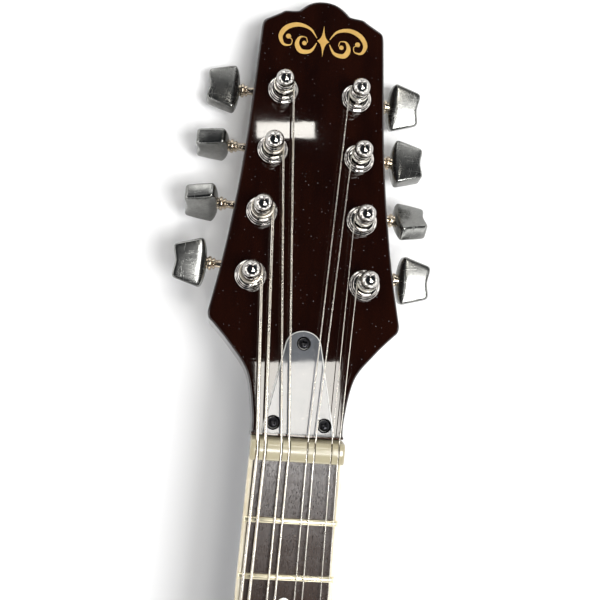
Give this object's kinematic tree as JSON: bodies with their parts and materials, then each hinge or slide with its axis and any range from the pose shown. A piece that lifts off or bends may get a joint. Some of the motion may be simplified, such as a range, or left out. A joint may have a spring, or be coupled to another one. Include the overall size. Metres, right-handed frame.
{
  "type": "mandolin",
  "caption": "Teardrop-bodied plucked lute with paired steel strings, carved top with f-holes, bound rosewood fingerboard, back-angled headstock and geared tuners.",
  "frame": {"origin": "middle of the back plate's outer face, midway along the body", "axes": "+Z out of the back plate towards the strings, +Y along the neck towards the headstock, +X towards the thin strings' side"},
  "size_m": [0.254, 0.7196, 0.0907],
  "materials": {
    "gloss_brown": "dark red-brown gloss lacquer over maple",
    "sunburst_top": "gloss lacquer, sunburst over spruce",
    "plain_wood": "bare sanded spruce and mahogany",
    "rosewood": "open-grained, oiled",
    "bone": "cream, satin",
    "chrome": "bright plated",
    "nickel": "polished, finely scratched",
    "steel": "plain",
    "plain_string": "plain bright wire",
    "wound_string": "bronze wound",
    "brass": "turned",
    "cover_metal": "satin, bevelled edge",
    "dark_screw": "blackened steel"
  },
  "bodies": {
    "root": {"back_plate": "gloss_brown", "bass_1_bushing": "chrome", "bass_2_bushing": "chrome", "bass_3_bushing": "chrome", "bass_4_bushing": "chrome", "bass_bridge_stud": "brass", "bass_side": "gloss_brown", "bass_tone_bar": "plain_wood", "bass_tuner_plate": "chrome", "bridge_base": "rosewood", "cover_screw_bass": "dark_screw", "cover_screw_top": "dark_screw", "cover_screw_treble": "dark_screw", "end_pin": "chrome", "fingerboard": "rosewood", "head_block": "plain_wood", "neck": "gloss_brown", "nut": "bone", "soundboard": "sunburst_top", "string_a1": "plain_string", "string_a2": "plain_string", "string_d1": "wound_string", "string_d2": "wound_string", "string_e1": "plain_string", "string_e2": "plain_string", "string_g1": "wound_string", "string_g2": "wound_string", "tail_block": "plain_wood", "tailpiece": "chrome", "treble_1_bushing": "chrome", "treble_2_bushing": "chrome", "treble_3_bushing": "chrome", "treble_4_bushing": "chrome", "treble_bridge_stud": "brass", "treble_side": "gloss_brown", "treble_tone_bar": "plain_wood", "treble_tuner_plate": "chrome", "truss_rod": "steel", "truss_rod_cover": "cover_metal"},
    "bass_1_knob": {"bass_1_button": "nickel"},
    "bass_1_winder": {"bass_1_post": "chrome"},
    "bass_2_knob": {"bass_2_button": "nickel"},
    "bass_2_winder": {"bass_2_post": "chrome"},
    "bass_3_knob": {"bass_3_button": "nickel"},
    "bass_3_winder": {"bass_3_post": "chrome"},
    "bass_4_knob": {"bass_4_button": "nickel"},
    "bass_4_winder": {"bass_4_post": "chrome"},
    "treble_1_knob": {"treble_1_button": "nickel"},
    "treble_1_winder": {"treble_1_post": "chrome"},
    "treble_2_knob": {"treble_2_button": "nickel"},
    "treble_2_winder": {"treble_2_post": "chrome"},
    "treble_3_knob": {"treble_3_button": "nickel"},
    "treble_3_winder": {"treble_3_post": "chrome"},
    "treble_4_knob": {"treble_4_button": "nickel"},
    "treble_4_winder": {"treble_4_post": "chrome"},
    "saddle": {"bridge_saddle": "rosewood"},
    "bass_wheel": {"bass_thumbwheel": "brass"},
    "treble_wheel": {"treble_thumbwheel": "brass"},
    "rod_nut": {"truss_rod_nut": "brass"},
    "tail_cover": {"tailpiece_cover": "chrome"}
  },
  "joints": [
    {"name": "bass_1_knob_turn", "type": "hinge", "parent": "root", "child": "bass_1_knob", "pos_m": [-0.01976, 0.42987, 0.0271], "axis": [-1, 0, 0], "continuous": true},
    {"name": "bass_1_post_turn", "type": "hinge", "parent": "root", "child": "bass_1_winder", "pos_m": [-0.01976, 0.42774, 0.04594], "axis": [0, 0.2788, 0.9603], "continuous": true},
    {"name": "bass_2_knob_turn", "type": "hinge", "parent": "root", "child": "bass_2_knob", "pos_m": [-0.01765, 0.45201, 0.02067], "axis": [-1, 0, 0], "continuous": true},
    {"name": "bass_2_post_turn", "type": "hinge", "parent": "root", "child": "bass_2_winder", "pos_m": [-0.01765, 0.44988, 0.03951], "axis": [0, 0.2788, 0.9603], "continuous": true},
    {"name": "bass_3_knob_turn", "type": "hinge", "parent": "root", "child": "bass_3_knob", "pos_m": [-0.01553, 0.47416, 0.01424], "axis": [-1, 0, 0], "continuous": true},
    {"name": "bass_3_post_turn", "type": "hinge", "parent": "root", "child": "bass_3_winder", "pos_m": [-0.01553, 0.47203, 0.03308], "axis": [0, 0.2788, 0.9603], "continuous": true},
    {"name": "bass_4_knob_turn", "type": "hinge", "parent": "root", "child": "bass_4_knob", "pos_m": [-0.01342, 0.4963, 0.00781], "axis": [-1, 0, 0], "continuous": true},
    {"name": "bass_4_post_turn", "type": "hinge", "parent": "root", "child": "bass_4_winder", "pos_m": [-0.01342, 0.49417, 0.02665], "axis": [0, 0.2788, 0.9603], "continuous": true},
    {"name": "treble_1_knob_turn", "type": "hinge", "parent": "root", "child": "treble_1_knob", "pos_m": [0.01976, 0.42987, 0.0271], "axis": [1, 0, 0], "continuous": true},
    {"name": "treble_1_post_turn", "type": "hinge", "parent": "root", "child": "treble_1_winder", "pos_m": [0.01976, 0.42774, 0.04594], "axis": [0, 0.2788, 0.9603], "continuous": true},
    {"name": "treble_2_knob_turn", "type": "hinge", "parent": "root", "child": "treble_2_knob", "pos_m": [0.01765, 0.45201, 0.02067], "axis": [1, 0, 0], "continuous": true},
    {"name": "treble_2_post_turn", "type": "hinge", "parent": "root", "child": "treble_2_winder", "pos_m": [0.01765, 0.44988, 0.03951], "axis": [0, 0.2788, 0.9603], "continuous": true},
    {"name": "treble_3_knob_turn", "type": "hinge", "parent": "root", "child": "treble_3_knob", "pos_m": [0.01553, 0.47416, 0.01424], "axis": [1, 0, 0], "continuous": true},
    {"name": "treble_3_post_turn", "type": "hinge", "parent": "root", "child": "treble_3_winder", "pos_m": [0.01553, 0.47203, 0.03308], "axis": [0, 0.2788, 0.9603], "continuous": true},
    {"name": "treble_4_knob_turn", "type": "hinge", "parent": "root", "child": "treble_4_knob", "pos_m": [0.01342, 0.4963, 0.00781], "axis": [1, 0, 0], "continuous": true},
    {"name": "treble_4_post_turn", "type": "hinge", "parent": "root", "child": "treble_4_winder", "pos_m": [0.01342, 0.49417, 0.02665], "axis": [0, 0.2788, 0.9603], "continuous": true},
    {"name": "saddle_height", "type": "slide", "parent": "root", "child": "saddle", "axis": [0, 0, 1], "range_m": [-0.0015, 0]},
    {"name": "bass_wheel_turn", "type": "hinge", "parent": "saddle", "child": "bass_wheel", "pos_m": [-0.032, 0.01873, 0.08058], "axis": [0, 0, 1], "range_deg": [-780, 10]},
    {"name": "treble_wheel_turn", "type": "hinge", "parent": "saddle", "child": "treble_wheel", "pos_m": [0.032, 0.01873, 0.08058], "axis": [0, 0, 1], "range_deg": [-780, 10]},
    {"name": "truss_rod_adjust", "type": "hinge", "parent": "root", "child": "rod_nut", "pos_m": [0, 0.38381, 0.05383], "axis": [0, 0.9981, -0.061], "range_deg": [-180, 180]},
    {"name": "tail_cover_slide", "type": "slide", "parent": "root", "child": "tail_cover", "axis": [0, -0.9933, -0.1158], "range_m": [0, 0.045]}
  ],
  "couplings": [
    {"joint": "bass_1_post_turn", "follows": "bass_1_knob_turn", "ratio": -0.066667},
    {"joint": "bass_2_post_turn", "follows": "bass_2_knob_turn", "ratio": -0.066667},
    {"joint": "bass_3_post_turn", "follows": "bass_3_knob_turn", "ratio": -0.066667},
    {"joint": "bass_4_post_turn", "follows": "bass_4_knob_turn", "ratio": -0.066667},
    {"joint": "treble_1_post_turn", "follows": "treble_1_knob_turn", "ratio": 0.066667},
    {"joint": "treble_2_post_turn", "follows": "treble_2_knob_turn", "ratio": 0.066667},
    {"joint": "treble_3_post_turn", "follows": "treble_3_knob_turn", "ratio": 0.066667},
    {"joint": "treble_4_post_turn", "follows": "treble_4_knob_turn", "ratio": 0.066667},
    {"joint": "bass_wheel_turn", "follows": "saddle_height", "rad_per_m": 8976},
    {"joint": "treble_wheel_turn", "follows": "saddle_height", "rad_per_m": 8976}
  ]
}
